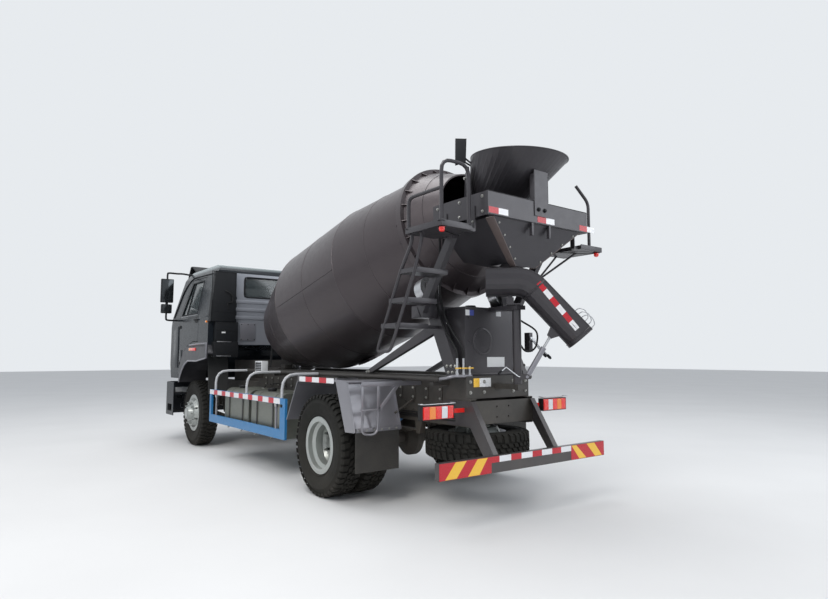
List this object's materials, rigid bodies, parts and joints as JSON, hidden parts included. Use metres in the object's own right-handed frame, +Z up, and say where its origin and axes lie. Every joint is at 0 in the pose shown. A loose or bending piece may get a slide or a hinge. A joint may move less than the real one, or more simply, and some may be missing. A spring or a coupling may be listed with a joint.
{
  "type": "concrete mixer truck",
  "caption": "Two-axle cab-over truck with a tilted mixer drum, feed hopper, swinging discharge chute, tilting cab and steered front wheels.",
  "frame": {"origin": "on the ground, midway along the truck's length, on its centre line", "axes": "+X forward, +Y to the left, +Z up"},
  "size_m": [8.1187, 2.96, 3.5398],
  "materials": {
    "chassis_paint": "satin",
    "body_paint": "gloss",
    "drum_paint": "satin",
    "blue_paint": "satin",
    "grey_plate": "satin",
    "bare_steel": "brushed",
    "tank_metal": "satin",
    "tyre": "matte",
    "flap_rubber": "matte",
    "window_glass": "clear",
    "lamp_clear": "clear",
    "lamp_red": "gloss",
    "trim_plastic": "matte",
    "seat_fabric": "woven",
    "rim_silver": "satin",
    "rim_grey": "matte",
    "cast_metal": "rough"
  },
  "bodies": {
    "chassis": {"frame_rails": "chassis_paint", "engine": "cast_metal", "front_axle": "chassis_paint", "rear_axle": "chassis_paint", "leaf_springs": "chassis_paint", "prop_shaft": "chassis_paint", "front_bumper": "body_paint", "head_lamps": "lamp_clear", "fuel_tank": "tank_metal", "air_tanks": "chassis_paint", "side_guards": "blue_paint", "subframe": "chassis_paint", "drum_drive": "chassis_paint", "drum_stand": "body_paint", "feed_hopper": "drum_paint", "discharge_hopper": "drum_paint", "rear_panel": "body_paint", "platforms": "body_paint", "ladder": "body_paint", "water_tank": "body_paint", "mudguards": "grey_plate", "mud_flaps": "flap_rubber", "underrun_guard": "body_paint", "tail_lamps": "lamp_red", "spare_tyre": "tyre", "spare_rim": "rim_grey", "air_filter": "grey_plate"},
    "cab": {"cab_shell": "body_paint", "cab_interior": "seat_fabric", "cab_glass": "window_glass", "front_grille": "trim_plastic", "cab_fenders": "body_paint", "sun_visor": "trim_plastic", "mirrors": "trim_plastic", "intake_panel": "trim_plastic"},
    "left_door": {"door_left": "body_paint", "door_glass_left": "window_glass"},
    "right_door": {"door_right": "body_paint", "door_glass_right": "window_glass"},
    "left_knuckle": {"knuckle_left": "cast_metal"},
    "right_knuckle": {"knuckle_right": "cast_metal"},
    "front_left_wheel": {"front_rim_left": "rim_silver", "front_tyre_left": "tyre"},
    "front_right_wheel": {"front_rim_right": "rim_silver", "front_tyre_right": "tyre"},
    "rear_left_wheels": {"rear_rims_left": "rim_grey", "rear_tyres_left": "tyre"},
    "rear_right_wheels": {"rear_rims_right": "rim_grey", "rear_tyres_right": "tyre"},
    "mixer_drum": {"drum": "drum_paint"},
    "left_roller": {"roller_left": "bare_steel"},
    "right_roller": {"roller_right": "bare_steel"},
    "chute_post": {"chute_arm": "body_paint"},
    "swing_chute": {"chute": "drum_paint"},
    "jack_barrel": {"jack_barrel": "grey_plate"},
    "jack_rod": {"jack_rod": "bare_steel"}
  },
  "joints": [
    {"name": "cab_tilt", "type": "hinge", "parent": "chassis", "child": "cab", "pos_m": [3.75935, 0, 1.12], "axis": [0, 1, 0], "range_deg": [0, 45]},
    {"name": "left_door_swing", "type": "hinge", "parent": "cab", "child": "left_door", "pos_m": [3.49935, 1.155, 1.9], "axis": [0, 0, -1], "range_deg": [0, 70]},
    {"name": "right_door_swing", "type": "hinge", "parent": "cab", "child": "right_door", "pos_m": [3.49935, -1.155, 1.9], "axis": [0, 0, 1], "range_deg": [0, 70]},
    {"name": "steer_left", "type": "hinge", "parent": "chassis", "child": "left_knuckle", "pos_m": [2.75935, 0.82, 0.527], "axis": [0, 0, 1], "range_deg": [-35, 35]},
    {"name": "steer_right", "type": "hinge", "parent": "chassis", "child": "right_knuckle", "pos_m": [2.75935, -0.82, 0.527], "axis": [0, 0, 1], "range_deg": [-35, 35]},
    {"name": "front_left_roll", "type": "hinge", "parent": "left_knuckle", "child": "front_left_wheel", "pos_m": [2.75935, 0.981, 0.527], "axis": [0, 1, 0], "continuous": true},
    {"name": "front_right_roll", "type": "hinge", "parent": "right_knuckle", "child": "front_right_wheel", "pos_m": [2.75935, -0.981, 0.527], "axis": [0, 1, 0], "continuous": true},
    {"name": "rear_left_roll", "type": "hinge", "parent": "chassis", "child": "rear_left_wheels", "pos_m": [-1.74065, 0.924, 0.527], "axis": [0, 1, 0], "continuous": true},
    {"name": "rear_right_roll", "type": "hinge", "parent": "chassis", "child": "rear_right_wheels", "pos_m": [-1.74065, -0.924, 0.527], "axis": [0, 1, 0], "continuous": true},
    {"name": "drum_turn", "type": "hinge", "parent": "chassis", "child": "mixer_drum", "pos_m": [-2.53265, 0, 2.806], "axis": [0.9707, 0, -0.2402], "continuous": true},
    {"name": "left_roller_turn", "type": "hinge", "parent": "chassis", "child": "left_roller", "pos_m": [-2.70199, 0.51214, 2.12175], "axis": [0.9707, 0, -0.2402], "continuous": true},
    {"name": "right_roller_turn", "type": "hinge", "parent": "chassis", "child": "right_roller", "pos_m": [-2.70199, -0.51214, 2.12175], "axis": [0.9707, 0, -0.2402], "continuous": true},
    {"name": "chute_swing", "type": "hinge", "parent": "chassis", "child": "chute_post", "pos_m": [-3.44065, 0, 1.5], "axis": [0, 0, 1], "range_deg": [-135, 45]},
    {"name": "chute_lift", "type": "hinge", "parent": "chute_post", "child": "swing_chute", "pos_m": [-3.39823, 0.04243, 1.99], "axis": [-0.7071, 0.7071, 0], "range_deg": [-5, 20]},
    {"name": "jack_lean", "type": "hinge", "parent": "chute_post", "child": "jack_barrel", "pos_m": [-3.50429, -0.06364, 1.26], "axis": [0.7071, -0.7071, 0], "range_deg": [-0.44, 0.85]},
    {"name": "jack_slide", "type": "slide", "parent": "jack_barrel", "child": "jack_rod", "axis": [-0.3582, -0.3582, 0.8622], "range_m": [-0.0451, 0.1772]}
  ],
  "couplings": [
    {"joint": "steer_right", "follows": "steer_left", "ratio": 1},
    {"joint": "left_roller_turn", "follows": "drum_turn", "ratio": -5.968},
    {"joint": "right_roller_turn", "follows": "drum_turn", "ratio": -5.968},
    {"joint": "jack_lean", "follows": "chute_lift", "ratio": 0.0277},
    {"joint": "jack_slide", "follows": "chute_lift", "m_per_rad": 0.5049}
  ]
}
